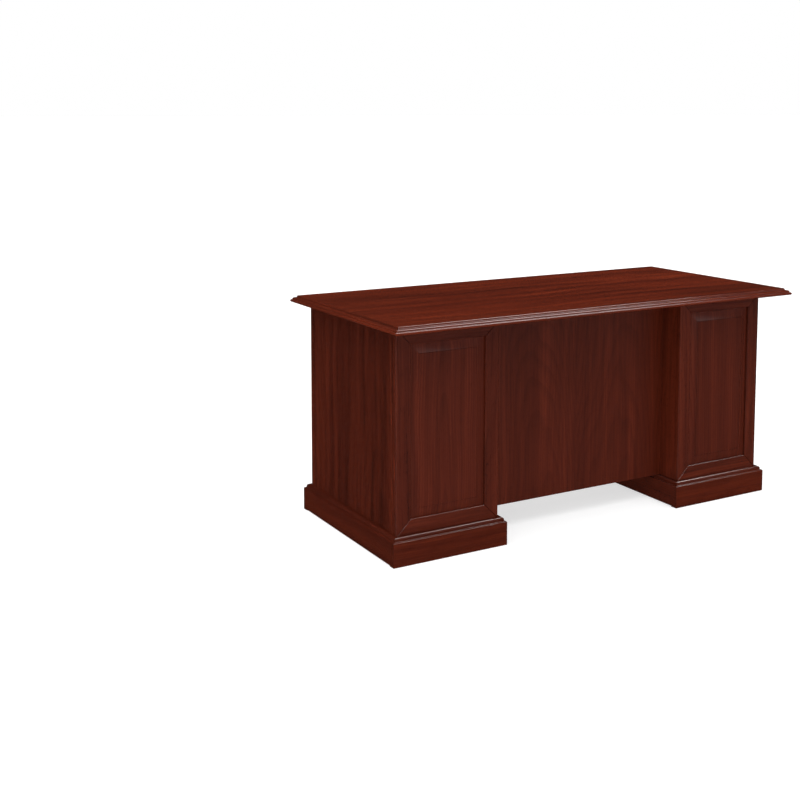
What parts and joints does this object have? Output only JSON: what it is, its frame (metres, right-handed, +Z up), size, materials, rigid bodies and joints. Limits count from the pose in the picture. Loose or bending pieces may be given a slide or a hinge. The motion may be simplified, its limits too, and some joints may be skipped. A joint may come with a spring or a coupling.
{
  "type": "executive desk",
  "caption": "Double-pedestal desk with a moulded top and plinths, raised panels and a modesty panel, sliding drawers, a file drawer, a hinged cupboard door and a keyboard shelf.",
  "frame": {"origin": "on the floor, under the middle of the desktop", "axes": "+Z up; +X along the desk's length, towards the cupboard pedestal; -Y towards the visitor, +Y towards the user"},
  "size_m": [1.65, 0.756, 0.768],
  "materials": {
    "top_laminate": "semi-gloss dark cherry laminate with straight grain along X",
    "moulding": "semi-gloss dark cherry finish on moulded boards, mitred at the corners",
    "case_laminate": "satin dark cherry laminate with upright grain",
    "raised_panel": "satin dark cherry veneer, straight on the frame and figured on the field",
    "front_face": "satin dark cherry veneer with an eased, moulded border",
    "drawer_board": "matt dark foil on drawer board",
    "plated_steel": "zinc-plated steel",
    "black_steel": "black painted steel",
    "bronze": "dark antique bronze",
    "lock_metal": "dark nickel",
    "glide_plastic": "black moulded plastic"
  },
  "bodies": {
    "case": {"desktop_core": "top_laminate", "desktop_edge_moulding": "moulding", "drawer_pedestal_outer_panel": "case_laminate", "drawer_pedestal_inner_panel": "case_laminate", "cupboard_pedestal_outer_panel": "case_laminate", "cupboard_pedestal_inner_panel": "case_laminate", "drawer_pedestal_panel_frame": "raised_panel", "cupboard_pedestal_panel_frame": "raised_panel", "raised_fields": "raised_panel", "modesty_panel": "case_laminate", "pedestal_bottoms": "case_laminate", "top_rails": "case_laminate", "drawer_pedestal_plinth": "moulding", "cupboard_pedestal_plinth": "moulding", "drawer_divider_rails": "case_laminate", "cupboard_fixed_shelf": "case_laminate", "cupboard_loose_shelf": "case_laminate", "shelf_pins": "plated_steel", "cam_discs": "plated_steel", "cam_bolts": "plated_steel", "top_brackets": "plated_steel", "floor_glides": "glide_plastic", "case_slide_members": "plated_steel", "keyboard_case_members": "black_steel", "case_hinge_leaves": "black_steel", "door_strike": "plated_steel"},
    "upper_drawer": {"upper_drawer_front": "front_face", "upper_drawer_walls": "drawer_board", "upper_drawer_bottom": "drawer_board", "upper_drawer_slide_members": "plated_steel", "upper_drawer_pull_mounts": "bronze"},
    "upper_drawer_bail": {"upper_drawer_bail": "bronze"},
    "second_drawer": {"second_drawer_front": "front_face", "second_drawer_walls": "drawer_board", "second_drawer_bottom": "drawer_board", "second_drawer_slide_members": "plated_steel", "second_drawer_pull_mounts": "bronze"},
    "second_drawer_bail": {"second_drawer_bail": "bronze"},
    "file_drawer": {"file_drawer_front": "front_face", "file_drawer_walls": "drawer_board", "file_drawer_bottom": "drawer_board", "file_drawer_slide_members": "plated_steel", "file_drawer_pull_mounts": "bronze", "file_hanger_rails": "plated_steel", "file_lock_body": "lock_metal"},
    "file_drawer_bail": {"file_drawer_bail": "bronze"},
    "cupboard_drawer": {"cupboard_drawer_front": "front_face", "cupboard_drawer_walls": "drawer_board", "cupboard_drawer_bottom": "drawer_board", "cupboard_drawer_slide_members": "plated_steel", "cupboard_drawer_pull_mounts": "bronze"},
    "cupboard_drawer_bail": {"cupboard_drawer_bail": "bronze"},
    "file_slide_middle": {"file_slide_middle_members": "plated_steel"},
    "file_lock": {"file_lock_plug": "lock_metal"},
    "cupboard_door": {"door": "front_face", "door_hinge_leaves": "black_steel", "door_knob_sleeve": "lock_metal"},
    "door_knob": {"door_knob": "lock_metal"},
    "keyboard_shelf": {"keyboard_shelf": "front_face", "keyboard_shelf_members": "black_steel"}
  },
  "joints": [
    {"name": "upper_drawer_slide", "type": "slide", "parent": "case", "child": "upper_drawer", "axis": [0, 1, 0], "range_m": [0, 0.38]},
    {"name": "second_drawer_slide", "type": "slide", "parent": "case", "child": "second_drawer", "axis": [0, 1, 0], "range_m": [0, 0.38]},
    {"name": "cupboard_drawer_slide", "type": "slide", "parent": "case", "child": "cupboard_drawer", "axis": [0, 1, 0], "range_m": [0, 0.38]},
    {"name": "file_drawer_slide", "type": "slide", "parent": "case", "child": "file_drawer", "axis": [0, 1, 0], "range_m": [0, 0.5]},
    {"name": "file_slide_middle_slide", "type": "slide", "parent": "case", "child": "file_slide_middle", "axis": [0, 1, 0], "range_m": [0, 0.25]},
    {"name": "upper_drawer_bail_swing", "type": "hinge", "parent": "upper_drawer", "child": "upper_drawer_bail", "pos_m": [-0.576, 0.355, 0.675], "axis": [1, 0, 0], "range_deg": [0, 100]},
    {"name": "second_drawer_bail_swing", "type": "hinge", "parent": "second_drawer", "child": "second_drawer_bail", "pos_m": [-0.576, 0.355, 0.524], "axis": [1, 0, 0], "range_deg": [0, 100]},
    {"name": "file_drawer_bail_swing", "type": "hinge", "parent": "file_drawer", "child": "file_drawer_bail", "pos_m": [-0.576, 0.355, 0.323], "axis": [1, 0, 0], "range_deg": [0, 100]},
    {"name": "cupboard_drawer_bail_swing", "type": "hinge", "parent": "cupboard_drawer", "child": "cupboard_drawer_bail", "pos_m": [0.576, 0.355, 0.675], "axis": [1, 0, 0], "range_deg": [0, 100]},
    {"name": "file_lock_turn", "type": "hinge", "parent": "file_drawer", "child": "file_lock", "pos_m": [-0.576, 0.33, 0.413], "axis": [0, 1, 0], "range_deg": [0, 180]},
    {"name": "door_hinge", "type": "hinge", "parent": "case", "child": "cupboard_door", "pos_m": [0.749, 0.3404, 0.34], "axis": [0, 0, -1], "range_deg": [0, 110]},
    {"name": "door_knob_turn", "type": "hinge", "parent": "cupboard_door", "child": "door_knob", "pos_m": [0.434, 0.33, 0.546], "axis": [0, 1, 0], "range_deg": [0, 90]},
    {"name": "keyboard_shelf_slide", "type": "slide", "parent": "case", "child": "keyboard_shelf", "axis": [0, 1, 0], "range_m": [0, 0.28]}
  ],
  "couplings": [
    {"joint": "file_slide_middle_slide", "follows": "file_drawer_slide", "ratio": 0.5}
  ]
}
